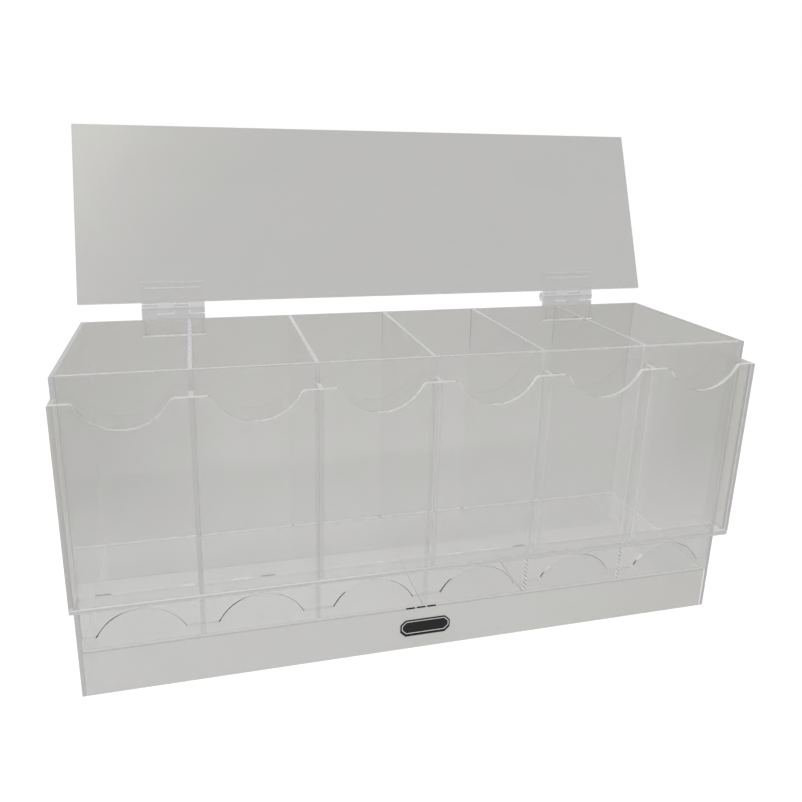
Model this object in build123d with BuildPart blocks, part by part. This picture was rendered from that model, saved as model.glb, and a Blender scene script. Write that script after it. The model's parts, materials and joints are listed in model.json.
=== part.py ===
from build123d import *
from math import cos, radians, sin
import os

# Six-lane booster pack dispenser: a clear acrylic cabinet with a row of display pockets on its
# front, a dispensing slot with finger arches below them, and a lid on two rear hinges, open.
#
# Millimetres. +X points right, +Y to the back and +Z up. z = 0 is the table, x = 0 the middle of
# the cabinet, and y = 0 the middle of the depth that the dispenser takes up with its lid open.

# Cabinet
box_width = 450.0
box_depth = 133.0
box_height = 211.0
sheet = 3.0
lane_count = 6

# Dispensing slot: packs rest on the floor and slide out over the lip
floor_top = 32.0
slot_height = 9.0
arch_width = 54.0
arch_rise = 17.0

# Display pockets on the front panel; their top lies below the rim by the drop
pocket_bottom = 68.0
pocket_drop = 12.5
pocket_gap = 10.0
scallop_width = 52.0
scallop_depth = 17.0
scallop_corner = 4.0

# Lid
lid_side_overhang = 1.0
lid_front_overhang = 2.0
lid_rear_inset = 0.3
lid_rest_gap = 0.3
lid_open_angle = 112.5
lid_edge_break = 0.3

# Hinges: two equal leaves on each pin
hinge_spacing = 320.0
hinge_width = 45.0
leaf_reach = 19.5
leaf_thickness = 2.5
leaf_bevel_width = 3.0
leaf_bevel_depth = 1.4
knuckle_count = 4
knuckle_radius = 3.6
knuckle_gap = 0.4
axis_offset = 3.6
leaf_clearance = 0.2
pin_radius = 1.25
pin_clearance = 0.05
pin_inset = 0.5

# What follows is worked out from the sizes above
inner_width = box_width - 2 * sheet
lane_width = (inner_width - (lane_count - 1) * sheet) / lane_count
lane_pitch = lane_width + sheet
lane_centres = [(lane - (lane_count - 1) / 2) * lane_pitch for lane in range(lane_count)]
divider_places = [x + lane_pitch / 2 for x in lane_centres[:-1]]
slot_top = floor_top + slot_height
pocket_reach = pocket_gap + sheet
pocket_top = box_height - pocket_drop
pocket_floor_top = pocket_bottom + sheet
pocket_wall_height = pocket_top - pocket_floor_top
arch_radius = (arch_width**2 / 4 + arch_rise**2) / (2 * arch_rise)
scallop_radius = (scallop_width**2 / 4 + scallop_depth**2) / (2 * scallop_depth)

lid_width = box_width + 2 * lid_side_overhang
lid_root = axis_offset + lid_rear_inset
lid_end = axis_offset + box_depth + lid_front_overhang
lid_lean = radians(lid_open_angle - 90)
lid_reach_back = (lid_end - lid_edge_break) * sin(lid_lean) - axis_offset * cos(lid_lean)
model_depth = pocket_reach + box_depth + axis_offset + lid_reach_back

front_y = pocket_reach - model_depth / 2
back_y = front_y + box_depth
axis_y = back_y + axis_offset
axis_z = box_height + lid_rest_gap + sheet + axis_offset

knuckle_length = (hinge_width - (knuckle_count - 1) * knuckle_gap) / knuckle_count
knuckle_pitch = knuckle_length + knuckle_gap
leaf_root = axis_offset + leaf_clearance
bore_radius = pin_radius + pin_clearance

# In a leaf's plane the hinge axis is the local X axis, local Y runs along the leaf away from the
# axis, and local Z points to the panel that the leaf is cemented to. The two planes differ only in
# how they are turned, so both leaves of a hinge are the same moulding.
lid_plane = Plane(
    origin=(0, axis_y, axis_z),
    x_dir=(1, 0, 0),
    z_dir=(0, -cos(lid_lean), sin(lid_lean)),
)
rear_plane = Plane(origin=(0, axis_y, axis_z), x_dir=(-1, 0, 0), z_dir=(0, -1, 0))

os.makedirs("parts", exist_ok=True)


def save(piece, name):
    """Labels a finished piece and writes it under its node's name."""
    piece.part.label = name
    export_step(piece.part, f"parts/{name}.step")


def upright_plane(y):
    """Plane facing the front at a depth y, with local X to the right and local Y up."""
    return Plane.XZ.offset(-y)


def middle(low, high):
    return (low + high) / 2


# Side panels: the outer walls, from the table to the rim
for side, name in ((-1, "left_side_panel"), (1, "right_side_panel")):
    with BuildPart() as side_panel:
        with BuildSketch(Plane.YZ.offset(side * inner_width / 2)):
            with Locations((middle(front_y, back_y), box_height / 2)):
                Rectangle(box_depth, box_height)
        extrude(amount=side * sheet)
    save(side_panel, name)

# Back panel: stands between the side panels and reaches the table
with BuildPart() as back_panel:
    with BuildSketch(upright_plane(back_y)):
        with Locations((0, box_height / 2)):
            Rectangle(inner_width, box_height)
    extrude(amount=sheet)
save(back_panel, "back_panel")

# Front lip: closes the base below the slot, level with the floor
with BuildPart() as front_lip:
    with BuildSketch(upright_plane(front_y)):
        with Locations((0, floor_top / 2)):
            Rectangle(inner_width, floor_top)
    extrude(amount=-sheet)
save(front_lip, "front_lip")

# Floor: carries the packs, raised so that its top is level with the lip
with BuildPart() as floor_shelf:
    with BuildSketch(Plane.XY.offset(floor_top)):
        with Locations((0, middle(front_y, back_y))):
            Rectangle(inner_width, box_depth - 2 * sheet)
    extrude(amount=-sheet)
save(floor_shelf, "floor_shelf")

# Front panel: hangs above the slot, with a finger arch in its lower edge at each lane
with BuildPart() as front_panel:
    with BuildSketch(upright_plane(front_y)):
        with Locations((0, middle(slot_top, box_height))):
            Rectangle(inner_width, box_height - slot_top)
        with Locations([(x, slot_top + arch_rise - arch_radius) for x in lane_centres]):
            Circle(arch_radius, mode=Mode.SUBTRACT)
    extrude(amount=-sheet)
save(front_panel, "front_panel")

# Lane dividers: full-height walls between the front and back panels, standing on the floor
for number, x in enumerate(divider_places, start=1):
    with BuildPart() as lane_divider:
        with BuildSketch(Plane.YZ.offset(x)):
            with Locations((middle(front_y, back_y), middle(floor_top, box_height))):
                Rectangle(box_depth - 2 * sheet, box_height - floor_top)
        extrude(amount=sheet / 2, both=True)
    save(lane_divider, f"lane_divider_{number}")

# Pocket floor: a strip along the front panel that carries the pockets' walls
with BuildPart() as pocket_floor:
    with BuildSketch(Plane.XY.offset(pocket_bottom)):
        with Locations((0, front_y - pocket_reach / 2)):
            Rectangle(box_width, pocket_reach)
    extrude(amount=sheet)
save(pocket_floor, "pocket_floor")

# Pocket front: one panel over all the pockets, scalloped at each lane for a finger grip
with BuildPart() as pocket_front:
    with BuildSketch(upright_plane(front_y - pocket_reach)):
        with Locations((0, middle(pocket_floor_top, pocket_top))):
            Rectangle(box_width, pocket_wall_height)
        with Locations([(x, pocket_top - scallop_depth + scallop_radius) for x in lane_centres]):
            Circle(scallop_radius, mode=Mode.SUBTRACT)
        top_corners = vertices().group_by(Axis.Y)[-1].sort_by(Axis.X)
        fillet(top_corners[1:-1], radius=scallop_corner)
    extrude(amount=-sheet)
save(pocket_front, "pocket_front")


def pocket_wall(x, name):
    """A short upright strip that spaces the pocket front from the front panel."""
    with BuildPart() as wall:
        with BuildSketch(Plane.YZ.offset(x)):
            with Locations((front_y - pocket_gap / 2, middle(pocket_floor_top, pocket_top))):
                Rectangle(pocket_gap, pocket_wall_height)
        extrude(amount=sheet / 2, both=True)
    save(wall, name)


for number, x in enumerate(divider_places, start=1):
    pocket_wall(x, f"pocket_divider_{number}")
pocket_wall(-(box_width - sheet) / 2, "pocket_end_left")
pocket_wall((box_width - sheet) / 2, "pocket_end_right")

# Lid: overhangs the rim at the front and sides, and leans back past upright when open
with BuildPart() as lid:
    with BuildSketch(lid_plane.offset(axis_offset)):
        with Locations((0, middle(lid_root, lid_end))):
            Rectangle(lid_width, lid_end - lid_root)
    extrude(amount=sheet)
    chamfer(lid.edges(), length=lid_edge_break)
save(lid, "lid")


def axis_section(leaf_plane, along):
    """Plane square to the hinge axis, with local X along the leaf and local Y to its panel."""
    return Plane(
        origin=leaf_plane.from_local_coords(Vector(along, 0, 0)),
        x_dir=leaf_plane.y_dir,
        z_dir=leaf_plane.x_dir,
    )


def hinge_leaf(leaf_plane, name):
    """A bevelled plate with every second knuckle of the hinge on tabs at its root."""
    outward = Axis(leaf_plane.origin, -leaf_plane.z_dir)
    away_from_axis = Axis(leaf_plane.origin, leaf_plane.y_dir)
    knuckle_places = [
        (number - (knuckle_count - 1) / 2) * knuckle_pitch for number in range(1, knuckle_count, 2)
    ]
    with BuildPart() as leaf:
        with BuildSketch(leaf_plane.offset(axis_offset)):
            with Locations((0, middle(leaf_root, leaf_reach))):
                Rectangle(hinge_width, leaf_reach - leaf_root)
        extrude(amount=-leaf_thickness)
        outer_face = faces().sort_by(outward)[-1]
        free_edges = outer_face.edges().sort_by(away_from_axis)[1:]
        chamfer(free_edges, length=leaf_bevel_width, length2=leaf_bevel_depth, reference=outer_face)
        for place in knuckle_places:
            with BuildSketch(axis_section(leaf_plane, place)):
                Circle(knuckle_radius)
                with BuildLine():
                    Polyline(
                        (0, 0),
                        (leaf_root, axis_offset - leaf_thickness),
                        (leaf_root, axis_offset),
                        (0, knuckle_radius),
                        close=True,
                    )
                make_face()
                Circle(bore_radius, mode=Mode.SUBTRACT)
            extrude(amount=knuckle_length / 2, both=True)
    save(leaf, name)


# Hinges: lower leaves on the back panel's rear face, upper leaves on the lid's outer face
for side, name in ((-1, "left"), (1, "right")):
    hinge_x = side * hinge_spacing / 2
    hinge_shift = Vector(hinge_x, 0, 0)
    rear_leaf_plane = Plane(rear_plane.origin + hinge_shift, rear_plane.x_dir, rear_plane.z_dir)
    lid_leaf_plane = Plane(lid_plane.origin + hinge_shift, lid_plane.x_dir, lid_plane.z_dir)
    hinge_leaf(rear_leaf_plane, f"hinge_{name}_lower_leaf")
    hinge_leaf(lid_leaf_plane, f"hinge_{name}_upper_leaf")
    with BuildPart() as hinge_pin:
        with BuildSketch(axis_section(lid_leaf_plane, 0)):
            Circle(pin_radius)
        extrude(amount=hinge_width / 2 - pin_inset, both=True)
    save(hinge_pin, f"hinge_{name}_pin")
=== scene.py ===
import json
from math import cos, pi, radians, sin
from types import SimpleNamespace

import bmesh
import bpy
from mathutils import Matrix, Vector


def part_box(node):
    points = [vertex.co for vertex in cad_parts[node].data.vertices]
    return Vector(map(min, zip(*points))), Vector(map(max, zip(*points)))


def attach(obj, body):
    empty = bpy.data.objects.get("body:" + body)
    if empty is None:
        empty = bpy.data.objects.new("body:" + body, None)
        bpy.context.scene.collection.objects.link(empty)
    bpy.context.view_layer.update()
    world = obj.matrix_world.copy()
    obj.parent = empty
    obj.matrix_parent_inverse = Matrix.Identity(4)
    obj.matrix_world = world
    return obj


# Clear acrylic dispenser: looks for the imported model. Metres, in the model's own frame.
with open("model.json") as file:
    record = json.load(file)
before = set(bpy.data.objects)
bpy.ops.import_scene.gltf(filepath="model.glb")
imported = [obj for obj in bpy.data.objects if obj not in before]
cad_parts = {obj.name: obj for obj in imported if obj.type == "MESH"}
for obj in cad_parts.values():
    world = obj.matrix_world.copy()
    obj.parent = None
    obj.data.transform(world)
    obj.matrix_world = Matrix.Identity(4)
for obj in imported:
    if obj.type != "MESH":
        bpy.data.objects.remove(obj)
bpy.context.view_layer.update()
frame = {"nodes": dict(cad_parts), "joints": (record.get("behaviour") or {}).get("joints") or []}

MM = 0.001

# Directions
LEFT, RIGHT = (-1, 0, 0), (1, 0, 0)
FRONT, BACK = (0, -1, 0), (0, 1, 0)
DOWN, UP = (0, 0, -1), (0, 0, 1)

# Camera: place, angles in degrees, lens and sensor in millimetres, and framing, as in the photograph
CAMERA_PLACE = (-0.14396, -0.50081, 0.33569)
CAMERA_TURN = (74.144, -1.047, -13.885)
CAMERA_LENS = 32.781
CAMERA_SENSOR = 36.0
CAMERA_SHIFT = (0.03177, -0.05757)
CAMERA_NEAR = 10 * MM

# Light: the sky's strength, and each lamp's power, size and place
SKY_LIGHT = 0.72
LAMPS = {"key": (5.0, 0.9, (-0.7, -0.7, 1.3)), "fill": (1.6, 1.2, (1.1, 0.2, 0.9))}
LAMP_AIM = (0, 0, 0.12)

# Studio floor, a little below the dispenser, and the glow that makes it read as white
FLOOR_SIZE = 12.0
FLOOR_DROP = 0.4 * MM
FLOOR_GLOW = 0.73
FLOOR_TONE = 0.8
FLOOR_SEEN_TONE = 0.4

# How many clear surfaces a line of sight may pass: it meets up to a dozen sheets, with two faces each
CLEAR_LAYERS = 48

# Acrylic. A face looks along its sheet's thickness, a cut edge square to it, a broken corner in between.
# Here and below, a limit or facing is the cosine of how far a surface may turn from a direction.
ACRYLIC_IOR = 1.49
FACE_LIMIT = 0.9
CUT_LIMIT = 0.3
# Painted light: how near a face must look to a sheet's lift direction for its tone to be raised
PAINTED_LIGHT_FACING = 0.5
RIPPLE_STRENGTH = 0.04
HAZE_ROUGHNESS = (0.3, 0.5)
EDGE_ROUGHNESS = (0.2, 0.4)
LINE_ROUGHNESS = 0.3

# How much of the light on its way to other surfaces clear sheets and beads of cement let through
SHADE_THROUGH = 0.97
CEMENT_THROUGH = 0.99

# Distances from the middle over which a sheet's tone changes to that of its ends
MIDDLE_REACH = (70 * MM, 200 * MM)

# Hues of the haze
WARM = (1.04, 1.0, 0.93)
COOL = (1.01, 1.0, 0.965)
PINK = (1.01, 0.99, 1.0)
GREEN = (0.98, 1.01, 0.97)

# Noise: scale, detail and, where it isn't the usual one, roughness
BLOTCHES = (24.0, 2.0)
HAZE = (5.0, 3.0)
SMUDGES = (38.0, 4.0, 0.6)
RIPPLES = (60.0, 2.0)
SAW_MARKS = (700.0, 2.0)
BUBBLES = (300.0, 2.0)
CLOUDS = (160.0, 3.0)
STREAKS = (120.0, 2.0)
BRUSHING = (1.0, 3.0)
WEAR = (900.0, 2.0)
CEMENT_GRAIN = (400.0, 3.0)
CEMENT_BREAKS = (75.0, 1.0)

# Stretches of noise that a change is spread over, and what some of them change: the share of haze, the
# strength of an outline, and the tone of a sawn edge
WIDE = (0.3, 0.7)
NARROW = (0.35, 0.65)
HIGH = (0.35, 0.75)
HAZE_SHARES = (0.95, 1.05)
STREAK_SHARES = (0.5, 1.0)
SAW_TONES = (0.92, 1.06)

# Sheet edges: their broken corners, the film of cement that keeps touching sheets apart, how close points
# are joined, and the angle from which an edge is sharp
EDGE_BREAK = 0.35 * MM
ARCH_BREAK = 0.55 * MM
CEMENT_FILM = 0.04 * MM
SAME_POINT = 0.001 * MM
SHARP_ANGLE = radians(30)

# Where sheets meet: a little inside the side panels' inner faces, at the floor's top and a little behind
# the back panel's front, with how much of its tint a side panel loses there
INNER_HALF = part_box("right_side_panel")[0][0] - 0.2 * MM
BASE_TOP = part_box("floor_shelf")[1][2]
BACK_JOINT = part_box("back_panel")[0][1] + 0.5 * MM
JOINT_LOSS = 0.88

# Up to where the pocket front and floor are nearly clear, left and right of the middle
POCKET_BARE = (INNER_HALF, INNER_HALF)
SHELF_BARE = (220 * MM, 214 * MM)

# Where the darker tint of a sheet sets in: distances from the middle, then heights
DUSK_LEFT = (130 * MM, 200 * MM, 100 * MM, 150 * MM)
DUSK_RIGHT = (130 * MM, 190 * MM, 72 * MM, 150 * MM)

# Painted reflection of the pocket floor in the front panel, with painted shade above it: the heights of
# the floor's top and the image's edge, the outline above that edge and half its width, the rise of the
# shade and where the image fades out along X, then how much light its band, shade and outline take
SHELF_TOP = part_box("pocket_floor")[1][2]
SHELF_IMAGE = SHELF_TOP + 9.6 * MM
SHELF_LINE = (0.3 * MM, 0.35 * MM)
SHELF_SHADE_RISE = 26 * MM
SHELF_IMAGE_END = (-30 * MM, 50 * MM)
SHELF_BAND = 0.035
SHELF_SHADE = 0.06
SHELF_OUTLINE = 0.09

# Bubbled joint at the foot of the dividers: its direction, its pitch and how unevenly it runs, its top
# and where it starts right of the middle, then its pale and dark tones and how much of it is dark
ROPE_WAY = (1.2, 0, 1)
ROPE_PITCH = 3.1 * MM
ROPE_WOBBLE = 0.6 * MM
ROPE_TOP = 62 * MM
ROPE_START = 60 * MM
ROPE_TONES = (0.95, 0.12)
ROPE_DARK = 0.4
ROPE_FACING = 0.6

# Painted dark reflections along the dividers' corners, seen from inside: the stretches of X and of height
# where they set in
INNER_RIM_START = (-50 * MM, 70 * MM)
INNER_RIM_RISE = (172 * MM, 190 * MM)
INNER_RIM_FACING = 0.3

# How a sheet lies: its thickness direction, then two directions in its plane
LID_LEAN = radians(22.5)
FACING_SIDE = (RIGHT, BACK, UP)
FACING_FRONT = (BACK, RIGHT, UP)
FACING_UP = (UP, RIGHT, BACK)
LEANING = ((0, -cos(LID_LEAN), sin(LID_LEAN)), RIGHT, (0, sin(LID_LEAN), cos(LID_LEAN)))

# Hinges: how far from the middle they sit, half their width, their barrel, a leaf's end as seen from the
# hinge axis and its bevel, and how much the leaves are grown
HINGE_PLACE = 160 * MM
HINGE_HALF = 22.5 * MM
BARREL_RADIUS = 3.7 * MM
LEAF_END = 19.5 * MM
LEAF_BEVEL = 3 * MM
HINGE_SWELL = 0.14 * MM

# A leaf's tones and roughness, the tone of its root, which looks back to the axis, how much of the leaf
# shows where it is solid and where it is faint, the light let by beside that, and the short stretch
# between the two
LEAF_TONES = (0.6, 0.68)
LEAF_ROUGHNESS = (0.15, 0.3)
ROOT_TONE = 0.66
ROOT_FACING = 0.8
LEAF_SHARES = (0.97, 0.04)
LEAF_CLEAR = 0.99
LEAF_FADE = 0.3 * MM

# Painted highlights at a leaf's end and sides: widths, strength beside the end line's, tone and share
END_LINE = 0.6 * MM
END_BAND = 2.4 * MM
SIDE_LINE = 0.45 * MM
END_BAND_STRENGTH = 0.35
SIDE_LINE_STRENGTH = 0.4
LEAF_HIGHLIGHT_TONE = 0.9
LEAF_HIGHLIGHT_SHARE = 0.6

# Outline of the cement under a leaf, drawn on a panel with painted highlights at its ends and dark lines
# at its sides: half widths of its lines, how far in from the leaf's edge the last two lie, and its
# highlight and dark tones
OUTLINE_END_HALF = 0.5 * MM
OUTLINE_STEP = 4.2 * MM
OUTLINE_STEP_HALF = 0.35 * MM
OUTLINE_SIDE = 2.2 * MM
OUTLINE_SIDE_HALF = 0.3 * MM
OUTLINE_TONES = (0.95, 0.1)

# Painted light and shade on a barrel, in light and dark bands: how far round it from the back by way of
# below, as 0 to 1, and the tone there
BARREL_LIGHT_AND_SHADE = (
    (0.0, 0.68), (0.3, 0.62), (0.335, 0.74), (0.378, 0.85), (0.42, 0.72), (0.457, 0.7), (0.489, 0.62),
    (0.519, 0.55), (0.548, 0.58), (0.578, 0.72), (0.61, 0.59), (0.645, 0.48), (0.69, 0.68), (0.783, 0.61),
    (1.0, 0.58),
)

DIVIDER_COUNT = 5

scene = bpy.context.scene


# Node helpers

def feed(tree, socket, value):
    """Gives a socket a number, a colour or another node's output."""
    if isinstance(value, bpy.types.NodeSocket):
        tree.links.new(value, socket)
    else:
        socket.default_value = value


def add(tree, kind, inputs=None, **settings):
    """Adds a node, with its settings and what feeds its inputs."""
    made = tree.nodes.new(kind)
    for name, value in settings.items():
        setattr(made, name, value)
    for name, value in (inputs or {}).items():
        feed(tree, made.inputs[name], value)
    return made


def maths(tree, operation, first, second=0.0):
    return add(tree, "ShaderNodeMath", {0: first, 1: second}, operation=operation).outputs[0]


def dot(tree, vector, direction):
    node = add(tree, "ShaderNodeVectorMath", {0: vector, 1: direction}, operation="DOT_PRODUCT")
    return node.outputs["Value"]


def spread(tree, value, low, high, to_low, to_high):
    """Maps value from one range to another, held at the ends."""
    inputs = {"Value": value, "From Min": low, "From Max": high, "To Min": to_low, "To Max": to_high}
    return add(tree, "ShaderNodeMapRange", inputs).outputs["Result"]


def noise(tree, place, scale, detail=2.0, roughness=0.5):
    inputs = {"Vector": place, "Scale": scale, "Detail": detail, "Roughness": roughness}
    return add(tree, "ShaderNodeTexNoise", inputs).outputs["Fac"]


def blend_colour(tree, share, first, second, blend_type="MIX"):
    mix = add(tree, "ShaderNodeMix", data_type="RGBA", blend_type=blend_type)
    for name, value in (("Factor", share), (6, first), (7, second)):
        feed(tree, mix.inputs[name], value)
    return mix.outputs[2]


def blend_value(tree, share, first, second):
    inputs = {0: share, 2: first, 3: second}
    return add(tree, "ShaderNodeMix", inputs, data_type="FLOAT").outputs[0]


def blend_shader(tree, share, first, second):
    return add(tree, "ShaderNodeMixShader", {0: share, 1: first, 2: second}).outputs[0]


def grey(level, hue=(1.0, 1.0, 1.0)):
    """A colour of that linear level, tinted by a hue."""
    return tuple(level * share for share in hue) + (1,)


def solid(tree, colour, roughness, specular=0.5, metallic=0.0):
    inputs = {
        "Base Color": colour, "Roughness": roughness, "Specular IOR Level": specular, "Metallic": metallic,
    }
    return add(tree, "ShaderNodeBsdfPrincipled", inputs).outputs[0]


def see_through(tree, colour=grey(1.0)):
    return add(tree, "ShaderNodeBsdfTransparent", {"Color": colour}).outputs[0]


def both(tree, first, second):
    """Product of two masks or shares, so 1 where both are 1."""
    return maths(tree, "MULTIPLY", first, second)


def outside(tree, mask):
    """1 where a mask is 0."""
    return maths(tree, "SUBTRACT", 1.0, mask)


def over(tree, value, limit):
    return maths(tree, "GREATER_THAN", value, limit)


def under(tree, value, limit):
    return maths(tree, "LESS_THAN", value, limit)


def stripe(tree, value, middle, half):
    """1 within half of middle."""
    return under(tree, maths(tree, "ABSOLUTE", maths(tree, "SUBTRACT", value, middle)), half)


def ramp(tree, place, stops):
    """Outputs of a colour ramp. stops are pairs of place and colour, the first at 0 and the last at 1."""
    node = add(tree, "ShaderNodeValToRGB", {0: place})
    points = node.color_ramp.elements
    points[0].position, points[1].position = 0.0, 1.0
    for stop in stops[1:-1]:
        points.new(stop[0])
    for point, stop in zip(points, stops):
        point.color = stop[1]
    return node.outputs


def new_material(name):
    material = bpy.data.materials.new(name)
    material.use_nodes = True
    material.node_tree.nodes.clear()
    material.use_backface_culling = True
    return material, material.node_tree


def finish_material(tree, shader):
    add(tree, "ShaderNodeOutputMaterial", {"Surface": shader})


def pass_light(tree, shader, share):
    """Lets light on its way to other surfaces through, so that a clear piece hardly casts a shadow."""
    let_through = see_through(tree, grey(share))
    path = add(tree, "ShaderNodeLightPath")
    shader = blend_shader(tree, path.outputs["Is Diffuse Ray"], shader, let_through)
    return blend_shader(tree, path.outputs["Is Shadow Ray"], shader, let_through)


# Acrylic sheet

def around(first, down, second, up):
    """Looks of the four edges of a sheet, as pairs of tone and share. The tones are painted light, shade
    and
    reflections: an edge is drawn lighter or darker by the way it faces. first faces left, or to the front
    on a sheet that faces sideways, second the other way. On a level sheet down is front and up is back."""
    return [(-180, *first), (-90, *down), (0, *second), (90, *up), (180, *first)]


def edge_light_ramp(tree, turn, stops):
    """Tone and share of an edge by the direction that it faces, where turn is 0 to 1 once around. The tone
    is painted light, shade and reflections, lighter or darker by that direction. stops are that direction
    in degrees, the tone and the share."""
    colours = [(degrees / 360 + 0.5, (tone, tone, tone, share)) for degrees, tone, share in stops]
    outputs = ramp(tree, turn, colours)
    return outputs["Color"], outputs["Alpha"]


def edge_light_look(tree, turn, rightness, left, right):
    """Blends two sets of stops from the left end of the dispenser to the right, where right is given."""
    tone, share = edge_light_ramp(tree, turn, left)
    if right is None:
        return tone, share
    other_tone, other_share = edge_light_ramp(tree, turn, right)
    share = blend_value(tree, rightness, share, other_share)
    return blend_colour(tree, rightness, tone, other_tone), share


def sheet_body(tree, place, look, gain):
    """The faint solid part of a sheet, its haze, with a painted light gradient: a slow change of tone
    along fade, and another from the middle of the dispenser to its ends. gain multiplies the tone."""
    direction, start, end = look.fade
    low, high = look.tones
    rise = spread(tree, dot(tree, place, direction), start, end, 0.0, 1.0)
    tone = blend_colour(tree, rise, grey(low, COOL), grey(high, WARM))
    aside = maths(tree, "ABSOLUTE", dot(tree, place, RIGHT))
    level = maths(tree, "MULTIPLY", spread(tree, aside, *MIDDLE_REACH, *look.middle), gain)
    grade = add(tree, "ShaderNodeCombineColor", {0: level, 1: level, 2: level}).outputs[0]
    tone = blend_colour(tree, 1.0, tone, grade, "MULTIPLY")
    blotch = spread(tree, noise(tree, place, *BLOTCHES), *NARROW, 0.0, 1.0)
    tint = blend_colour(tree, blotch, grey(1.0, PINK), grey(0.99, GREEN))
    tone = blend_colour(tree, 1.0, tone, tint, "MULTIPLY")
    haze = noise(tree, place, *HAZE)
    share = maths(tree, "MULTIPLY", spread(tree, haze, *WIDE, *HAZE_SHARES), look.through[1])
    smudge = noise(tree, place, *SMUDGES)
    body = solid(tree, tone, spread(tree, smudge, *WIDE, *HAZE_ROUGHNESS), specular=0.0)
    return body, share, smudge


def kept_tint(tree, place, normal, where):
    """1 where a sheet keeps its tint. where is the distances left and right of the middle up to which it
    loses it, or else back or side. Those lose it on a wall's inner face at the base, and a side panel also
    where that face meets the back panel."""
    across = dot(tree, place, RIGHT)
    if where not in ("back", "side"):
        return maths(tree, "MAXIMUM", under(tree, across, -where[0]), over(tree, across, where[1]))
    lost = spread(tree, dot(tree, place, UP), BASE_TOP - MM, BASE_TOP, 1.0, 0.0)
    inward = under(tree, dot(tree, normal, BACK), 0.0)
    if where == "side":
        inward = under(tree, maths(tree, "MULTIPLY", dot(tree, normal, RIGHT), across), 0.0)
        joint = both(tree, over(tree, dot(tree, place, BACK), BACK_JOINT), JOINT_LOSS)
        lost = maths(tree, "MAXIMUM", lost, joint)
    return outside(tree, both(tree, inward, lost))


def dusk_share(tree, place, left, right):
    """How far a sheet takes its darker tint: up to the shares left and right, towards those ends of the
    dispenser, and not at its foot."""
    across = dot(tree, place, RIGHT)
    height = dot(tree, place, UP)
    start, end, low, high = DUSK_LEFT
    to_left = spread(tree, across, -start, -end, 0.0, left)
    to_left = both(tree, to_left, spread(tree, height, low, high, 0.0, 1.0))
    start, end, low, high = DUSK_RIGHT
    to_right = spread(tree, across, start, end, 0.0, right)
    to_right = both(tree, to_right, spread(tree, height, low, high, 0.0, 1.0))
    return maths(tree, "MAXIMUM", to_left, to_right)


def painted_shelf_reflection_share(tree, place):
    """Share of light let by where the front panel shows a painted reflection of the pocket floor: a band
    and its dark outline, then painted shade that fades upward. The image shows on the left and fades out
    across the middle."""
    height = dot(tree, place, UP)
    band = both(tree, over(tree, height, SHELF_TOP), under(tree, height, SHELF_IMAGE))
    shade = spread(tree, height, SHELF_IMAGE, SHELF_IMAGE + SHELF_SHADE_RISE, SHELF_SHADE, 0.0)
    shade = both(tree, over(tree, height, SHELF_IMAGE), shade)
    outline = stripe(tree, height, SHELF_IMAGE + SHELF_LINE[0], SHELF_LINE[1])
    loss = maths(tree, "ADD", both(tree, band, SHELF_BAND), shade)
    loss = maths(tree, "ADD", loss, both(tree, outline, SHELF_OUTLINE))
    here = spread(tree, dot(tree, place, RIGHT), *SHELF_IMAGE_END, 1.0, 0.0)
    return outside(tree, both(tree, here, loss))


def hush_share(tree, place, turn, limits):
    """0 on edges that face a stretch of directions, from a place along X on, and 1 elsewhere."""
    start, low, high = limits
    here = over(tree, dot(tree, place, RIGHT), start)
    faces = both(tree, over(tree, turn, low / 360 + 0.5), under(tree, turn, high / 360 + 0.5))
    return outside(tree, both(tree, here, faces))


def reflection_dashes(tree, place, pattern):
    """1 on short dashes along X, a painted reflection: pattern is start, end, pitch, the share of the
    pitch that is dashed, and the depth that the dashes reach back to."""
    start, end, pitch, filled, reach = pattern
    along = dot(tree, place, RIGHT)
    inside = both(tree, over(tree, along, start), under(tree, along, end))
    inside = both(tree, inside, under(tree, dot(tree, place, BACK), reach))
    phase = maths(tree, "FRACT", maths(tree, "DIVIDE", maths(tree, "SUBTRACT", along, start), pitch))
    return both(tree, inside, under(tree, phase, filled))


def leaf_place(tree, place, leaf_way):
    """A place as seen from the hinge axis, how far along a hinge leaf it is from there, and how far from
    the leaf's middle."""
    axis_place = tuple(frame["joints"][0]["pos_m"])
    local = add(tree, "ShaderNodeVectorMath", {0: place, 1: axis_place}, operation="SUBTRACT").outputs[0]
    aside = maths(tree, "ABSOLUTE", dot(tree, local, RIGHT))
    from_middle = maths(tree, "ABSOLUTE", maths(tree, "SUBTRACT", aside, HINGE_PLACE))
    return local, dot(tree, local, leaf_way), from_middle


def leaf_outline_with_highlights(tree, place, face, leaf_way, shift, end_share, step_share, side_share):
    """Draws the edge of the cement under the hinge leaves on a panel's face, as it catches the light:
    painted highlights at the ends, dark lines along the sides.
    """
    _, along, from_middle = leaf_place(tree, place, leaf_way)
    along = maths(tree, "ADD", along, shift)
    end = stripe(tree, along, LEAF_END, OUTLINE_END_HALF)
    end = both(tree, end, under(tree, from_middle, HINGE_HALF))
    step = stripe(tree, along, LEAF_END - OUTLINE_STEP, OUTLINE_STEP_HALF)
    step = both(tree, step, under(tree, from_middle, HINGE_HALF - LEAF_BEVEL))
    sides = stripe(tree, from_middle, HINGE_HALF - OUTLINE_SIDE, OUTLINE_SIDE_HALF)
    sides = both(tree, sides, under(tree, along, LEAF_END))
    streak = spread(tree, noise(tree, place, *STREAKS), *NARROW, *STREAK_SHARES)
    pale = maths(tree, "MAXIMUM", both(tree, end, end_share), both(tree, step, step_share))
    share = maths(tree, "MAXIMUM", both(tree, pale, streak), both(tree, sides, side_share))
    tone = blend_colour(tree, sides, *map(grey, OUTLINE_TONES))
    return blend_shader(tree, share, face, solid(tree, tone, LINE_ROUGHNESS))


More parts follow.
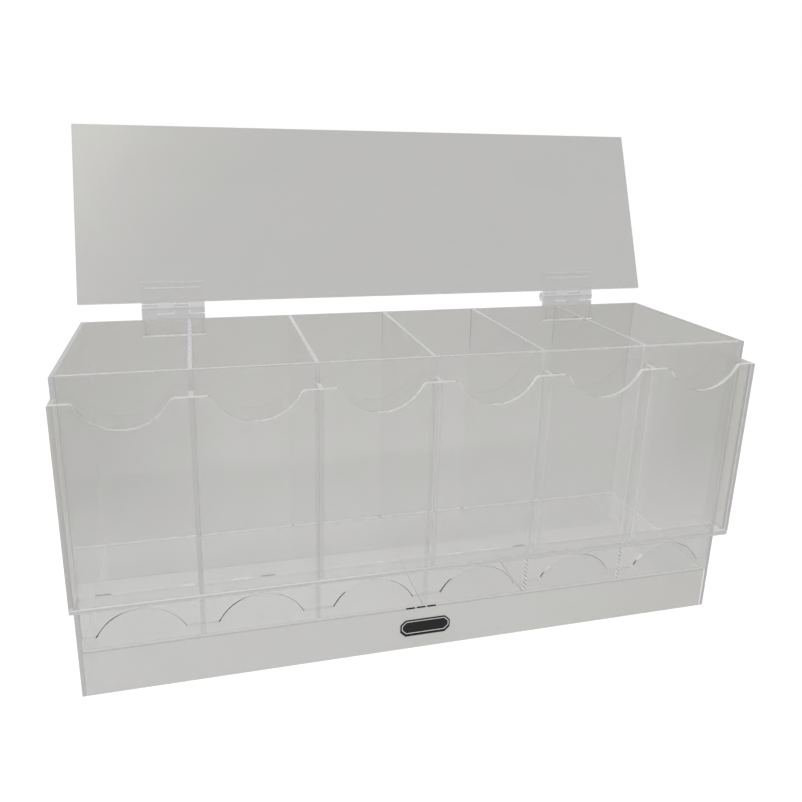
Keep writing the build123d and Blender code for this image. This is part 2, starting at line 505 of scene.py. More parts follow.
def rope(tree, place, turn_front):
    """Tone and share of the bubbles in the joint at the foot of the dividers on the right. They show on
    faces turned to the front."""
    wobble = maths(tree, "MULTIPLY", noise(tree, place, *BUBBLES), ROPE_WOBBLE)
    slant = maths(tree, "ADD", dot(tree, place, ROPE_WAY), wobble)
    phase = maths(tree, "FRACT", maths(tree, "DIVIDE", slant, ROPE_PITCH))
    tone = blend_colour(tree, under(tree, phase, ROPE_DARK), *map(grey, ROPE_TONES))
    low = under(tree, dot(tree, place, UP), ROPE_TOP)
    here = both(tree, low, over(tree, dot(tree, place, RIGHT), ROPE_START))
    return tone, both(tree, here, turn_front)


def sheet_spot(tree, lie, turnover):
    """What a point of a sheet is: its place and normal, whether it is seen from inside, masks of the edges
    and of the cut edges alone, the direction that an edge faces, as 0 to 1 once around, and how far right
    it is. The normal is turned to the viewer, so from inside outward turns it back."""
    coordinates = add(tree, "ShaderNodeTexCoord")
    spot = SimpleNamespace(place=coordinates.outputs["Object"], normal=coordinates.outputs["Normal"])
    spot.back = add(tree, "ShaderNodeNewGeometry").outputs["Backfacing"]
    across = maths(tree, "ABSOLUTE", dot(tree, spot.normal, lie[0]))
    spot.is_edge = under(tree, across, FACE_LIMIT)
    spot.is_cut = under(tree, across, CUT_LIMIT)
    spot.outward = spread(tree, spot.back, 0.0, 1.0, 1.0, -1.0)
    first = maths(tree, "MULTIPLY", dot(tree, spot.normal, lie[1]), spot.outward)
    second = maths(tree, "MULTIPLY", dot(tree, spot.normal, lie[2]), spot.outward)
    spot.turn = spread(tree, maths(tree, "ARCTAN2", second, first), -pi, pi, 0.0, 1.0)
    start, end = turnover
    spot.rightness = spread(tree, dot(tree, spot.place, RIGHT), start * MM, end * MM, 0.0, 1.0)
    return spot


def sheet_tint(tree, spot, look):
    """Colour of the light that a sheet lets by, and where it keeps its tint."""
    tint, kept = grey(look.through[0]), None
    if look.bare:
        where, bare_clear, _ = look.bare
        kept = kept_tint(tree, spot.place, spot.normal, where)
        tint = blend_colour(tree, kept, grey(bare_clear), tint)
    if look.dusk:
        dusk_clear, left, right = look.dusk
        tint = blend_colour(tree, dusk_share(tree, spot.place, left, right), tint, grey(dusk_clear))
    # Painted reflection of the pocket floor, with painted shade above it
    if look.mirroring:
        tint = blend_colour(tree, 1.0, tint, painted_shelf_reflection_share(tree, spot.place), "MULTIPLY")
    return tint, kept


def sheet_face(tree, spot, look):
    """The face of a sheet: its tint and haze, then its gloss, which its edges don't have."""
    gain = 1.0
    # Painted light: faces that look in the lift direction get a lighter tone
    if look.lift:
        direction, most = look.lift
        painted_lit_face = over(tree, dot(tree, spot.normal, direction), PAINTED_LIGHT_FACING)
        gain = spread(tree, painted_lit_face, 0.0, 1.0, 1.0, most)
    body, veil_share, smudge = sheet_body(tree, spot.place, look, gain)
    tint, kept = sheet_tint(tree, spot, look)
    if look.bare:
        left_over = spread(tree, kept, 0.0, 1.0, look.bare[2] / look.through[1], 1.0)
        veil_share = maths(tree, "MULTIPLY", veil_share, left_over)
    plain = blend_shader(tree, veil_share, see_through(tree, tint), body)

    ripple = noise(tree, spot.place, *RIPPLES)
    relief = {"Height": ripple, "Strength": RIPPLE_STRENGTH, "Distance": MM}
    bump = add(tree, "ShaderNodeBump", relief).outputs[0]
    shine = spread(tree, smudge, *HIGH, *look.rough)
    mirror = add(tree, "ShaderNodeBsdfGlossy", {"Color": grey(1.0), "Roughness": shine, "Normal": bump})
    bounce = add(tree, "ShaderNodeFresnel", {"IOR": ACRYLIC_IOR}).outputs[0]
    share = maths(tree, "MINIMUM", maths(tree, "MULTIPLY", bounce, look.gloss), 1.0)
    share = both(tree, share, outside(tree, spot.is_edge))
    if look.bare and look.bare[0] == "side":
        share = both(tree, share, kept)
    face = blend_shader(tree, share, plain, mirror.outputs[0])
    return leaf_outline_with_highlights(tree, spot.place, face, *look.leaf) if look.leaf else face


def sheet_edge(tree, spot, look):
    """Shader and share of a sheet's edges, seen from outside, with painted light, shade and reflections.
    """
    cut_tone, cut_share = edge_light_look(tree, spot.turn, spot.rightness, look.cut, look.cut_right)
    rim_tone, rim_share = edge_light_look(tree, spot.turn, spot.rightness, look.rim, look.rim_right)
    if look.roped:
        faces_front = over(tree, dot(tree, spot.normal, FRONT), ROPE_FACING)
        rope_tone, roped_here = rope(tree, spot.place, faces_front)
        cut_tone = blend_colour(tree, roped_here, cut_tone, rope_tone)
    tone = blend_colour(tree, spot.is_cut, rim_tone, cut_tone)
    share = both(tree, blend_value(tree, spot.is_cut, rim_share, cut_share), spot.loud)
    # Painted reflection of the badge: dark dashes on the lip's top edge
    if look.edge_marks:
        dash = reflection_dashes(tree, spot.place, look.edge_marks)
        tone = blend_colour(tree, dash, tone, grey(0.0))
        share = maths(tree, "MAXIMUM", share, dash)
    saw = noise(tree, spot.place, *SAW_MARKS)
    grain = blend_colour(tree, saw, *map(grey, SAW_TONES))
    tone = blend_colour(tree, 1.0, tone, grain, "MULTIPLY")
    edge = solid(tree, tone, spread(tree, saw, *WIDE, *EDGE_ROUGHNESS), specular=0.1)
    return edge, both(tree, spot.is_edge, share)


def sheet_inside(tree, spot, look):
    """What shows of a sheet from inside it: its cut edges and their broken corners, toned with painted
    light, shade and reflections, or open air.
    """
    rear = see_through(tree)
    if look.ends:
        tone, share = edge_light_look(tree, spot.turn, spot.rightness, look.ends, look.ends_right)
        share = both(tree, spot.is_cut, both(tree, share, spot.loud))
        rear = blend_shader(tree, share, rear, solid(tree, tone, LINE_ROUGHNESS))
    # Painted dark reflections along the dividers' corners, strongest high up
    if look.inner_rim:
        tone, share = edge_light_ramp(tree, spot.turn, look.inner_rim)
        high = spread(tree, dot(tree, spot.place, UP), *INNER_RIM_RISE, 0.0, 1.0)
        on_right = spread(tree, dot(tree, spot.place, RIGHT), *INNER_RIM_START, 0.0, 1.0)
        sideways = maths(tree, "MULTIPLY", dot(tree, spot.normal, RIGHT), spot.outward)
        leftward = under(tree, sideways, -INNER_RIM_FACING)
        share = both(tree, both(tree, share, on_right), both(tree, high, leftward))
        is_rim = maths(tree, "SUBTRACT", spot.is_edge, spot.is_cut)
        rear = blend_shader(tree, both(tree, is_rim, share), rear, solid(tree, tone, LINE_ROUGHNESS))
    return rear


# What a sheet's material is where it chooses nothing else
SHEET_CHOICES = {
    "cut_right": None, "rim_right": None, "ends": None, "ends_right": None, "inner_rim": None,
    "gloss": 1.0, "rough": (0.02, 0.12), "fade": (UP, 0.03, 0.2), "middle": (1.0, 1.0),
    "turnover": (-60, 60), "bare": None, "dusk": None, "hush": None, "edge_marks": None, "lift": None,
    "leaf": None, "roped": False, "mirroring": False,
}


def acrylic(name, lie, through, tones, cut, rim, **choices):
    """Cut acrylic sheet, with what SHEET_CHOICES says where choices don't.
    through: the share of light that its tint lets by, and how much of its own tone a face shows
    tones: that tone at the low and high end of fade, a painted light gradient. middle multiplies it at
        the dispenser's middle and ends, and lift, painted light, on faces that look in a direction
    cut, rim: looks of its cut edges and their broken corners, with painted light and shade. ends and
        inner_rim are the same from inside
    turnover: the stretch of X in millimetres over which they change to those named right
    bare: where the sheet is nearly clear, with through there
    dusk: the share of light let by where its tint is darker, and how dark it gets on the left and right
    hush: where edges don't show. edge_marks: short dark dashes on its edges, a painted reflection
    gloss, rough: strength and roughness of the mirror image
    leaf, roped, mirroring: the outline of hinge leaves with its painted highlights, the bubbles in the
    dividers' joints, and a painted reflection of the pocket floor"""
    look = SimpleNamespace(through=through, tones=tones, cut=cut, rim=rim, **{**SHEET_CHOICES, **choices})
    material, tree = new_material(name)
    spot = sheet_spot(tree, lie, look.turnover)
    spot.loud = hush_share(tree, spot.place, spot.turn, look.hush) if look.hush else 1.0
    edge, edge_share = sheet_edge(tree, spot, look)
    front = blend_shader(tree, edge_share, sheet_face(tree, spot, look), edge)
    shader = blend_shader(tree, spot.back, front, sheet_inside(tree, spot, look))
    finish_material(tree, pass_light(tree, shader, SHADE_THROUGH))
    return material


def barrel_light_and_shade(tree, local, lift):
    """Tones of painted light and shade on a hinge's barrel: bands by the direction round its axis."""
    angle = maths(tree, "ARCTAN2", dot(tree, local, UP), dot(tree, local, FRONT))
    stops = [(place, grey(tone + lift)) for place, tone in BARREL_LIGHT_AND_SHADE]
    return ramp(tree, spread(tree, angle, -pi, pi, 0.0, 1.0), stops)["Color"]


def hinge_plastic(name, leaf_way, solid_to, lift):
    """Clear moulded plastic: a barrel round the hinge axis, with painted light and shade in bands, then a
    leaf that is solid as far as solid_to along leaf_way and faint beyond it, with painted highlights along
    its edges. lift is added to the barrel's and the leaf's tones."""
    material, tree = new_material(name)
    coordinates = add(tree, "ShaderNodeTexCoord")
    place = coordinates.outputs["Object"]
    root = under(tree, dot(tree, coordinates.outputs["Normal"], leaf_way), -ROOT_FACING)
    back = add(tree, "ShaderNodeNewGeometry").outputs["Backfacing"]
    local, along, from_middle = leaf_place(tree, place, leaf_way)
    flat = add(tree, "ShaderNodeVectorMath", {0: local, 1: (0, 1, 1)}, operation="MULTIPLY").outputs[0]
    from_axis = add(tree, "ShaderNodeVectorMath", {0: flat}, operation="LENGTH").outputs["Value"]

    cloud = noise(tree, place, *CLOUDS)
    tone = blend_colour(tree, cloud, *(grey(level + lift) for level in LEAF_TONES))
    tone = blend_colour(tree, root, tone, grey(ROOT_TONE))
    on_barrel = under(tree, from_axis, BARREL_RADIUS)
    tone = blend_colour(tree, on_barrel, tone, barrel_light_and_shade(tree, local, lift))
    # Painted highlights: pale lines along the leaf's end and sides
    end_line = over(tree, along, LEAF_END - END_LINE)
    end_band = over(tree, along, LEAF_END - END_BAND)
    side_line = over(tree, from_middle, HINGE_HALF - SIDE_LINE)
    pale = maths(tree, "MAXIMUM", end_line, both(tree, end_band, END_BAND_STRENGTH))
    pale = maths(tree, "MAXIMUM", pale, both(tree, side_line, SIDE_LINE_STRENGTH))
    tone = blend_colour(tree, pale, tone, grey(LEAF_HIGHLIGHT_TONE))
    share = spread(tree, along, solid_to, solid_to + LEAF_FADE, *LEAF_SHARES)
    share = maths(tree, "MAXIMUM", share, both(tree, pale, LEAF_HIGHLIGHT_SHARE))
    body = solid(tree, tone, spread(tree, cloud, *WIDE, *LEAF_ROUGHNESS), specular=0.2)
    front = blend_shader(tree, share, see_through(tree, grey(LEAF_CLEAR)), body)
    shader = blend_shader(tree, back, front, see_through(tree))
    finish_material(tree, pass_light(tree, shader, SHADE_THROUGH))
    return material


def grow(node, width):
    """Joins the faces of a CAD node and moves them out by a width, or in where it is negative."""
    node.modifiers.new("weld", "WELD").merge_threshold = SAME_POINT
    film = node.modifiers.new("film", "DISPLACE")
    film.mid_level = 0.0
    film.strength = width


def break_edges(node, width):
    """Draws a CAD node's faces in by the cement film and breaks its sharp edges."""
    grow(node, -CEMENT_FILM)
    bevel = node.modifiers.new("edge", "BEVEL")
    bevel.width = width
    bevel.segments = 1
    bevel.limit_method = "ANGLE"
    bevel.angle_limit = SHARP_ANGLE


def paint(material, *names, edge=EDGE_BREAK):
    """Gives CAD nodes a material, and edges broken by a width. Where that is 0 only the hinge leaves
    change their shape: they are grown a little."""
    for name in names:
        node = frame["nodes"][name]
        node.data.materials.clear()
        node.data.materials.append(material)
        if edge:
            break_edges(node, edge)
        elif name.endswith("leaf"):
            grow(node, HINGE_SWELL)


def numbered(stem):
    """Names of the dividers of one kind, from left to right."""
    return [f"{stem}_{number}" for number in range(1, DIVIDER_COUNT + 1)]


# Tone and share of an edge that doesn't show
HIDDEN = (0.5, 0.0)

# Painted reflection of the badge in the lip's top edge, as dark dashes: start, end, pitch, the share of
# the pitch that is dashed, and how far back they reach
LIP_BADGE_REFLECTION = (-14 * MM, 8.3 * MM, 7.5 * MM, 0.84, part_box("front_lip")[0][1] + 1.2 * MM)

# Sheets: each sheet's two tones make a painted light gradient, lift paints light on faces that look one
# way, and the edge looks hold painted light, shade and reflections
SIDE_LOOKS = {
    "left": {
        "tones": (0.68, 0.52),
        "cut": around((0.59, 1), (0.5, 1), (0.5, 0.4), (0.54, 1)),
        "rim": around((0.6, 1), (0.4, 1), (0.5, 0.4), (0.6, 1)),
    },
    "right": {
        "tones": (0.7, 0.6),
        "cut": around((0.56, 1), (0.5, 1), (0.5, 0.4), (0.48, 1)),
        "rim": around((0.66, 0.35), (0.4, 1), (0.5, 0.4), (0.5, 1)),
    },
}

paint(
    acrylic(
        "acrylic_lid", LEANING, (0.5, 0.5), (0.53, 0.615), rough=(0.16, 0.24),
        fade=((-1, 0, 1), 0.42, 0.56), leaf=(LEANING[2], 0.8 * MM, 0.25, 0.4, 0.0),
        cut=around((0.52, 1), (0.85, 1), (0.52, 1), (0.56, 1)),
        rim=around((0.54, 1), (0.75, 1), (0.54, 1), (0.58, 1)),
    ),
    "lid", edge=0,
)
paint(
    acrylic(
        "acrylic_back", FACING_FRONT, (0.5, 0.5), (0.68, 0.56), middle=(1.03, 0.92),
        bare=("back", 0.93, 0.1), leaf=(DOWN, 0.7 * MM, 1.0, 0.0, 0.3), lift=(BACK, 1.35),
        cut=around(HIDDEN, (0.4, 1), HIDDEN, (0.56, 1)),
        rim=around(HIDDEN, (0.2, 1), HIDDEN, (0.5, 1)),
    ),
    "back_panel",
)
paint(
    acrylic(
        "acrylic_lip", FACING_FRONT, (0.5, 0.5), (0.68, 0.59), fade=(RIGHT, 0.06, 0.2),
        cut=around((0.4, 0.3), (0.5, 1), (0.4, 0.3), (0.66, 1)),
        rim=around(HIDDEN, (0.5, 1), HIDDEN, (0.52, 1)),
        edge_marks=LIP_BADGE_REFLECTION,
    ),
    "front_lip",
)
for side in ("left", "right"):
    paint(
        acrylic(
            f"acrylic_side_{side}", FACING_SIDE, (0.5, 0.5), **SIDE_LOOKS[side],
            bare=("side", 0.985, 0.04), gloss=2.0, rough=(0.02, 0.05),
        ),
        f"{side}_side_panel",
    )
for side, inward, gain in (("left", RIGHT, 1.6), ("right", LEFT, 1.2)):
    paint(
        acrylic(
            f"acrylic_pocket_end_{side}", FACING_SIDE, (0.5, 0.75), (0.6, 0.56), lift=(inward, gain),
            cut=around((0.54, 1), (0.5, 1), (0.5, 0.4), (0.58, 1)),
            rim=around((0.6, 0.5), (0.4, 0.5), (0.5, 0.2), (0.6, 1)),
        ),
        f"pocket_end_{side}",
    )
paint(
    acrylic(
        "acrylic_floor", FACING_UP, (0.667, 0.4), (0.49, 0.38), gloss=0.12, middle=(1.03, 0.91),
        fade=(RIGHT, -0.04, 0.05),
        cut=around(HIDDEN, (0.5, 0.2), HIDDEN, HIDDEN),
        rim=around(HIDDEN, (0.5, 0.3), HIDDEN, HIDDEN),
    ),
    "floor_shelf",
)
paint(
    acrylic(
        "acrylic_front", FACING_FRONT, (0.985, 0.04), (0.7, 0.5), turnover=(15, 100), mirroring=True,
        dusk=(0.9, 0.75, 1.0), hush=(-75 * MM, -86, -49),
        cut=[(-180, 0.5, 1), (-150, 0.3, 1), (-90, 0.5, 1), (-60, 0.15, 1), (-26, 0.1, 1), (-15, 0.5, 1),
             (0, 0.5, 1), (90, 0.72, 1), (180, 0.5, 1)],
        cut_right=around((0.42, 0.4), (0.45, 0.6), (0.6, 1), (0.66, 1)),
        rim=[(-180, 0.55, 0.3), (-160, 0.55, 0.3), (-156, 0.1, 1), (-110, 0.35, 0.9), (-90, 0.5, 0.5),
             (-70, 0.1, 1), (-30, 0.0, 1), (-24, 0.0, 1), (-20, 0.5, 0.3), (20, 0.5, 0.3), (90, 0.5, 1),
             (160, 0.5, 1), (180, 0.55, 0.3)],
        rim_right=[(-180, 0.5, 0), (-152, 0.5, 0.2), (-125, 0.25, 0.7), (-105, 0.2, 1), (-90, 0.45, 0.5),
                   (-72, 0.6, 0.2), (-50, 0.95, 0.9), (-36, 0.9, 1), (-26, 0.1, 1), (0, 0.5, 1),
                   (90, 0.6, 1), (180, 0.5, 0)],
        ends=[(-180, 0.6, 0.5), (-160, 0.6, 0), (-95, 0.45, 0), (-93, 0.45, 0.3), (-87, 0.45, 0.3),
              (-85, 0.45, 0), (-74, 0.1, 0), (-60, 0.05, 0.8), (-26, 0.0, 0.9), (-20, 0.6, 0),
              (0, 0.6, 0.5), (20, 0.6, 0), (160, 0.6, 0), (180, 0.6, 0.5)],
        ends_right=[(-180, 0.6, 0.5), (-160, 0.6, 0), (-95, 0.45, 0), (-93, 0.45, 0.25), (-87, 0.45, 0.25),
                    (-85, 0.45, 0), (-70, 0.95, 0), (-58, 0.95, 0.8), (-40, 0.95, 0.8), (-35, 0.1, 0.8),
                    (-26, 0.05, 0.9), (-20, 0.6, 0), (0, 0.6, 0.5), (160, 0.6, 0), (180, 0.6, 0.5)],
    ),
    "front_panel", edge=ARCH_BREAK,
)
paint(
    acrylic(
        "acrylic_pocket", FACING_FRONT, (0.83, 0.4), (0.62, 0.62), turnover=(-178, -145),
        bare=(POCKET_BARE, 0.985, 0.04), dusk=(0.85, 0.4, 0.5),
        cut=[(-180, 0.52, 1), (-90, 0.45, 1), (0, 0.56, 1), (20, 0.6, 1), (90, 0.72, 1), (170, 0.74, 1),
             (180, 0.52, 1)],
        cut_right=[(-180, 0.52, 1), (-90, 0.45, 1), (0, 0.52, 1), (10, 0.6, 0), (74, 0.6, 0), (86, 0.7, 1),
                   (120, 0.74, 1), (170, 0.74, 1), (180, 0.52, 1)],
        rim=[(-180, 0.5, 0), (-90, 0.5, 0), (0, 0.5, 0), (70, 0.5, 0), (86, 0.66, 1), (165, 0.7, 1),
             (172, 0.5, 0), (180, 0.5, 0)],
        rim_right=[(-180, 0.5, 0), (-96, 0.4, 0), (-90, 0.35, 1), (-84, 0.4, 0), (0, 0.5, 0), (78, 0.5, 0),
                   (88, 0.66, 1), (165, 0.74, 1), (172, 0.5, 0), (180, 0.5, 0)],
        ends=[(-180, 0.62, 1), (-170, 0.62, 1), (-169, 0.5, 0), (-11, 0.5, 0), (-10, 0.62, 1),
              (10, 0.62, 1), (11, 0.5, 0), (169, 0.5, 0), (170, 0.62, 1), (180, 0.62, 1)],
        ends_right=[(-180, 0.62, 1), (-170, 0.62, 1), (-169, 0.5, 0), (-11, 0.5, 0), (-10, 0.62, 1),
                    (10, 0.62, 1), (11, 0.5, 0), (20, 0.95, 1), (38, 0.95, 1), (46, 0.8, 0), (169, 0.5, 0),
                    (170, 0.62, 1), (180, 0.62, 1)],
    ),
    "pocket_front",
)
paint(
    acrylic(
        "acrylic_shelf", FACING_UP, (0.65, 0.6), (0.64, 0.64), gloss=0.15, bare=(SHELF_BARE, 0.95, 0.12),
        cut=around((0.5, 1), (0.63, 1), (0.5, 1), (0.5, 0.2)),
        cut_right=around((0.5, 1), (0.65, 1), (0.5, 1), (0.5, 0.2)),
        rim=around((0.5, 1), (0.82, 1), (0.5, 1), HIDDEN),
        rim_right=around((0.5, 1), (0.55, 1), (0.5, 1), HIDDEN),
    ),
    "pocket_floor",
)
paint(
    acrylic(
        "acrylic_divider", FACING_SIDE, (0.99, 0.03), (0.6, 0.5), gloss=0.25, turnover=(-75, 150),
        roped=True,
        cut=around((0.6, 0.5), (0.4, 0.3), (0.5, 0.2), (0.68, 1)),
        cut_right=around((0.76, 0.4), (0.4, 0.3), (0.3, 0.3), (0.62, 1)),
        rim=around((0.55, 0.3), (0.35, 0.6), (0.35, 0.1), (0.6, 1)),
        rim_right=around((0.82, 0.45), (0.35, 0.6), (0.3, 0.3), (0.5, 1)),
        inner_rim=around(HIDDEN, HIDDEN, (0.1, 0.9), HIDDEN),
    ),
    *numbered("lane_divider"), *numbered("pocket_divider"),
)
LOWER_HINGE = hinge_plastic("hinge_lower", DOWN, 7.6 * MM, 0.0)
UPPER_HINGE = hinge_plastic("hinge_upper", LEANING[2], 4.6 * MM, 0.03)
for side in ("left", "right"):
    paint(LOWER_HINGE, f"hinge_{side}_lower_leaf", f"hinge_{side}_pin", edge=0)
    paint(UPPER_HINGE, f"hinge_{side}_upper_leaf", edge=0)


# Badge: a blank plate on the front lip, with a raised line near its border. Its place and sizes are
# across and up, and the line sits a little above its middle

BADGE_PLACE = (-0.1 * MM, 16.7 * MM)
BADGE_SIZE = (35.8 * MM, 12.6 * MM)
BADGE_CORNER = 3.6 * MM
BADGE_THICKNESS = 0.6 * MM
BADGE_SLOPE = 0.15 * MM
BORDER_SIZE = (33.8 * MM, 9.6 * MM)
BORDER_CORNER = 3.1 * MM
BORDER_RISE = 0.7 * MM
BORDER_LINE = 0.55 * MM
BORDER_HEIGHT = 0.08 * MM
BADGE_TONES = (0.008, 0.02)
BADGE_ROUGHNESS = (0.3, 0.45)
LINE_TONES = (0.62, 0.8)
BRUSH_SCALE = (60.0, 1.0, 1400.0)


def octagon(size, corner, rise, inset):
    """Points of a rectangle with cut corners, a rise above the badge's middle and drawn in by inset on
    every side."""
    centre_x, centre_z = BADGE_PLACE
    half_width, half_height = size[0] / 2 - inset, size[1] / 2 - inset
    corner -= inset * (2 - 2 ** 0.5)
    quarter = ((half_width - corner, half_height), (half_width, half_height - corner))
    points = [(x, z) for x, z in reversed(quarter)]
    points += [(-x, z) for x, z in quarter]
    points += [(-x, -z) for x, z in reversed(quarter)]
    points += [(x, -z) for x, z in quarter]
    return [(centre_x + x, centre_z + rise + z) for x, z in points]


def badge_material():
    """Dark lacquered metal with a fine brushed grain."""
    material, tree = new_material("badge")
    place = add(tree, "ShaderNodeTexCoord").outputs["Object"]
    stretched = add(tree, "ShaderNodeMapping", {"Vector": place, "Scale": BRUSH_SCALE}).outputs[0]
    grain = noise(tree, stretched, *BRUSHING)
    colour = blend_colour(tree, grain, *map(grey, BADGE_TONES))
    roughness = spread(tree, grain, *WIDE, *BADGE_ROUGHNESS)
    finish_material(tree, solid(tree, colour, roughness, specular=0.15))
    return material


def line_material():
    """Pale paint of the line near the badge's border, slightly worn."""
    material, tree = new_material("badge_line")
    place = add(tree, "ShaderNodeTexCoord").outputs["Object"]
    colour = blend_colour(tree, noise(tree, place, *WEAR), *map(grey, LINE_TONES))
    finish_material(tree, solid(tree, colour, 0.4, metallic=0.1))
    return material


def add_piece(name, mesh, material, body):
    piece = bpy.data.objects.new(name, mesh)
    scene.collection.objects.link(piece)
    piece.data.materials.append(material)
    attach(piece, body)


def loop(mesh, points, depth):
    return [mesh.verts.new((x, depth, z)) for x, z in points]


def skin(mesh, loops):
    """Joins each loop of points to the next."""
    for near, far in zip(loops, loops[1:]):
        for index in range(len(near)):
            following = (index + 1) % len(near)
            mesh.faces.new((near[index], near[following], far[following], far[index]))


def settle(mesh, name):
    """Turns a finished bmesh into a mesh, with its faces outward."""
    bmesh.ops.recalc_face_normals(mesh, faces=mesh.faces)
    settled = bpy.data.meshes.new(name)
    mesh.to_mesh(settled)
    mesh.free()
    return settled


def make_badge():
    """The plate, bevelled at its front, and the raised line near its border."""
    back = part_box("front_lip")[0][1]
    face = back - BADGE_THICKNESS
    plate = bmesh.new()
    outer = octagon(BADGE_SIZE, BADGE_CORNER, 0.0, 0.0)
    loops = [
        loop(plate, outer, back), loop(plate, outer, face + BADGE_SLOPE),
        loop(plate, octagon(BADGE_SIZE, BADGE_CORNER, 0.0, BADGE_SLOPE), face),
    ]
    skin(plate, loops)
    plate.faces.new(loops[0])
    plate.faces.new(loops[-1])
    add_piece("badge_plate", settle(plate, "badge_plate"), badge_material(), "cabinet")

    border = bmesh.new()
    outer = octagon(BORDER_SIZE, BORDER_CORNER, BORDER_RISE, 0.0)
    inner = octagon(BORDER_SIZE, BORDER_CORNER, BORDER_RISE, BORDER_LINE)
    loops = [
        loop(border, outer, face), loop(border, outer, face - BORDER_HEIGHT),
        loop(border, inner, face - BORDER_HEIGHT), loop(border, inner, face),
    ]
    skin(border, loops + loops[:1])
    add_piece("badge_border", settle(border, "badge_border"), line_material(), "cabinet")


make_badge()


# Cement beads in the joints: the length of a bead's legs, and how full it is between them

BEAD = 0.8 * MM
THIN_BEAD = 0.5 * MM
BEAD_FILL = 0.4
SIDE_BEAD_START = -25 * MM
UNEVENNESS = 0.06
CEMENT_ROUGHNESS = (0.2, 0.4)

# Dashes of a broken bead: how their noise is stretched, the noise below which they are dark and above
# which they are pale, those two tones, and how much of the bead is left between them
BREAK_STRETCH = (1.0, 0.05, 0.05)
BREAK_LIMITS = (0.33, 0.65)
BREAK_TONES = (0.9, 0.12)
BREAK_LEFT = 0.3

# Beads at the dividers' feet: where they fade out from front to back, and the stretch of X that has them
FEET_FADE = (-50 * MM, -5 * MM)
FEET_REACH = (-20 * MM, 100 * MM)


def cement(name, tone, share, broken=False, foot=False):
    """Set cement: slightly uneven. A broken bead shows mainly as dark and pale dashes, and one at a
    divider's foot only near the front, about the middle of the dispenser."""
    material, tree = new_material(name)
    place = add(tree, "ShaderNodeTexCoord").outputs["Object"]
    back = add(tree, "ShaderNodeNewGeometry").outputs["Backfacing"]
    grain = noise(tree, place, *CEMENT_GRAIN)
    colour = blend_colour(tree, grain, grey(tone - UNEVENNESS), grey(tone + UNEVENNESS))
    if broken:
        stretched = add(tree, "ShaderNodeMapping", {"Vector": place, "Scale": BREAK_STRETCH}).outputs[0]
        streak = noise(tree, stretched, *CEMENT_BREAKS)
        dark = under(tree, streak, BREAK_LIMITS[0])
        pale = over(tree, streak, BREAK_LIMITS[1])
        colour = blend_colour(tree, dark, *map(grey, BREAK_TONES))
        share = spread(tree, maths(tree, "MAXIMUM", dark, pale), 0.0, 1.0, share * BREAK_LEFT, share)
    if foot:
        across = dot(tree, place, RIGHT)
        near = spread(tree, dot(tree, place, BACK), *FEET_FADE, 1.0, 0.0)
        middle = both(tree, over(tree, across, FEET_REACH[0]), under(tree, across, FEET_REACH[1]))
        share = both(tree, both(tree, middle, near), share)
    body = solid(tree, colour, spread(tree, grain, *WIDE, *CEMENT_ROUGHNESS))
    clear = see_through(tree)
    shader = blend_shader(tree, back, blend_shader(tree, share, clear, body), clear)
    finish_material(tree, pass_light(tree, shader, CEMENT_THROUGH))
    return material


def add_bead(name, runs, legs, size, material):
    """A hollow fillet in a corner: one prism for each run along the corner, leaning on its two legs."""
    first, second = (Vector(leg) * size for leg in legs)
    section = [Vector((0, 0, 0)), first, (first + second) * BEAD_FILL, second]
    bead = bmesh.new()
    for run in runs:
        rings = [[bead.verts.new(Vector(end) + offset) for offset in section] for end in run]
        skin(bead, rings)
        bead.faces.new(rings[0])
        bead.faces.new(rings[1])
    add_piece(name, settle(bead, name), material, "cabinet")


def lane_spans():
    """Left and right limits of each lane, from wall to wall."""
    walls = ["left_side_panel", *numbered("lane_divider"), "right_side_panel"]
    boxes = [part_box(name) for name in walls]
    return [(left[1][0], right[0][0]) for left, right in zip(boxes, boxes[1:])]


def make_beads():
    """Beads along the floor's rear and right joints, the pocket floor's seam and the dividers' feet."""
    floor_low, floor_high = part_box("floor_shelf")
    front_y, (right_x, back_y, top) = floor_low[1], floor_high
    panel_y, shelf_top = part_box("front_panel")[0][1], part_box("pocket_floor")[1][2]
    spans = lane_spans()
    pale = cement("cement", 0.74, 0.9)
    rear = [((left, back_y, top), (right, back_y, top)) for left, right in spans]
    add_bead("bead_floor_rear", rear, (FRONT, UP), BEAD, pale)
    side = [((right_x, SIDE_BEAD_START, top), (right_x, back_y, top))]
    add_bead("bead_floor_right", side, (LEFT, UP), BEAD, pale)
    seam = [((left, panel_y, shelf_top), (right, panel_y, shelf_top)) for left, right in spans]
    broken = cement("cement_broken", 0.7, 0.6, broken=True)
    add_bead("bead_pocket_seam", seam, (FRONT, UP), THIN_BEAD, broken)
    feet = [((right, front_y, top), (right, back_y, top)) for left, right in spans[:-1]]
    faint = cement("cement_foot", 0.3, 0.4, foot=True)
    add_bead("bead_divider_feet", feet, (LEFT, UP), THIN_BEAD, faint)


make_beads()


# Stage, light and camera

def seen_share(tree):
    """1 for rays that show the background: camera, glossy and transmission rays."""
    path = add(tree, "ShaderNodeLightPath")
    first = maths(tree, "MAXIMUM", path.outputs["Is Camera Ray"], path.outputs["Is Glossy Ray"])
    return maths(tree, "MAXIMUM", first, path.outputs["Is Transmission Ray"])


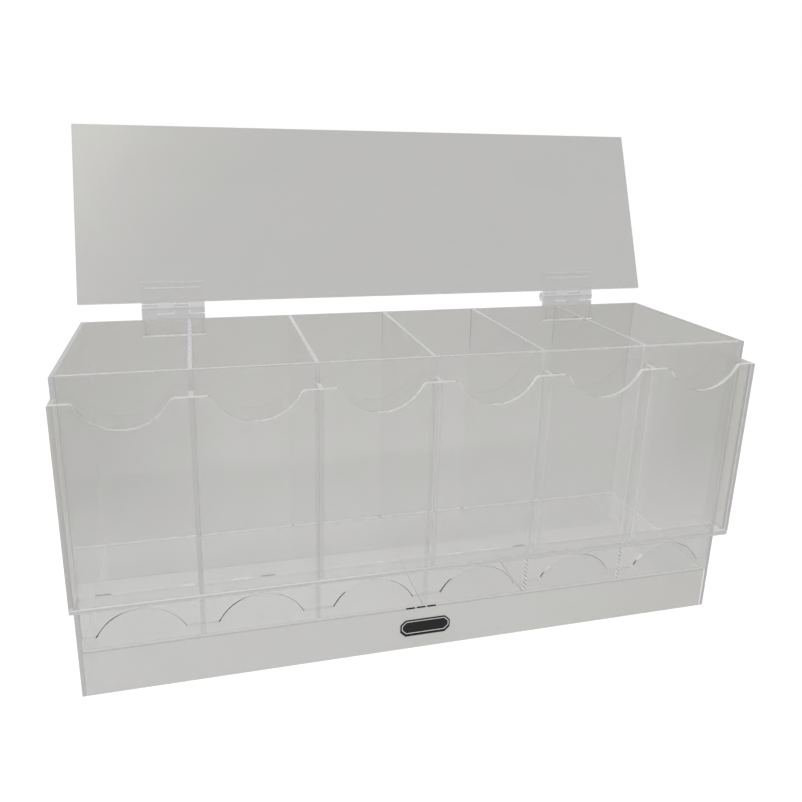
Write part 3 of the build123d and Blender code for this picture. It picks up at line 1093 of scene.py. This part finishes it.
def make_world():
    """A white background, dimmer as a light than it looks."""
    world = bpy.data.worlds.new("studio")
    scene.world = world
    world.use_nodes = True
    tree = world.node_tree
    tree.nodes.clear()
    strength = spread(tree, seen_share(tree), 0.0, 1.0, SKY_LIGHT, 1.0)
    sky = add(tree, "ShaderNodeBackground", {"Color": grey(1.0), "Strength": strength})
    add(tree, "ShaderNodeOutputWorld", {"Surface": sky.outputs[0]})


def make_floor():
    """A white floor. Where it is seen it is darker but glows, so that shadows on it are faint."""
    bpy.ops.mesh.primitive_plane_add(size=FLOOR_SIZE, location=(0, 0, -FLOOR_DROP))
    floor = bpy.context.object
    floor.name = "studio_floor"
    material, tree = new_material("studio_floor")
    material.use_backface_culling = False
    lit = add(tree, "ShaderNodeBsdfDiffuse", {"Color": grey(FLOOR_TONE)})
    shadowed = add(tree, "ShaderNodeBsdfDiffuse", {"Color": grey(FLOOR_SEEN_TONE)})
    glow = add(tree, "ShaderNodeEmission", {"Color": grey(1.0), "Strength": FLOOR_GLOW})
    seen = add(tree, "ShaderNodeAddShader", {0: shadowed.outputs[0], 1: glow.outputs[0]})
    finish_material(tree, blend_shader(tree, seen_share(tree), lit.outputs[0], seen.outputs[0]))
    floor.data.materials.append(material)


def make_lamp(name, power, size, place):
    """A square lamp, turned to the dispenser."""
    lamp = bpy.data.lights.new(name, "AREA")
    lamp.energy = power
    lamp.shape = "SQUARE"
    lamp.size = size
    holder = bpy.data.objects.new(name, lamp)
    scene.collection.objects.link(holder)
    holder.location = place
    holder.rotation_euler = (Vector(LAMP_AIM) - Vector(place)).to_track_quat("-Z", "Y").to_euler()


def make_camera():
    data = bpy.data.cameras.new("camera")
    data.sensor_width = CAMERA_SENSOR
    data.lens = CAMERA_LENS
    data.shift_x, data.shift_y = CAMERA_SHIFT
    data.clip_start = CAMERA_NEAR
    camera = bpy.data.objects.new("camera", data)
    scene.collection.objects.link(camera)
    camera.location = CAMERA_PLACE
    camera.rotation_euler = [radians(angle) for angle in CAMERA_TURN]
    scene.camera = camera


make_world()
make_floor()
for name, setting in LAMPS.items():
    make_lamp(name, *setting)
make_camera()
scene.view_settings.view_transform = "Standard"
scene.cycles.transparent_max_bounces = CLEAR_LAYERS
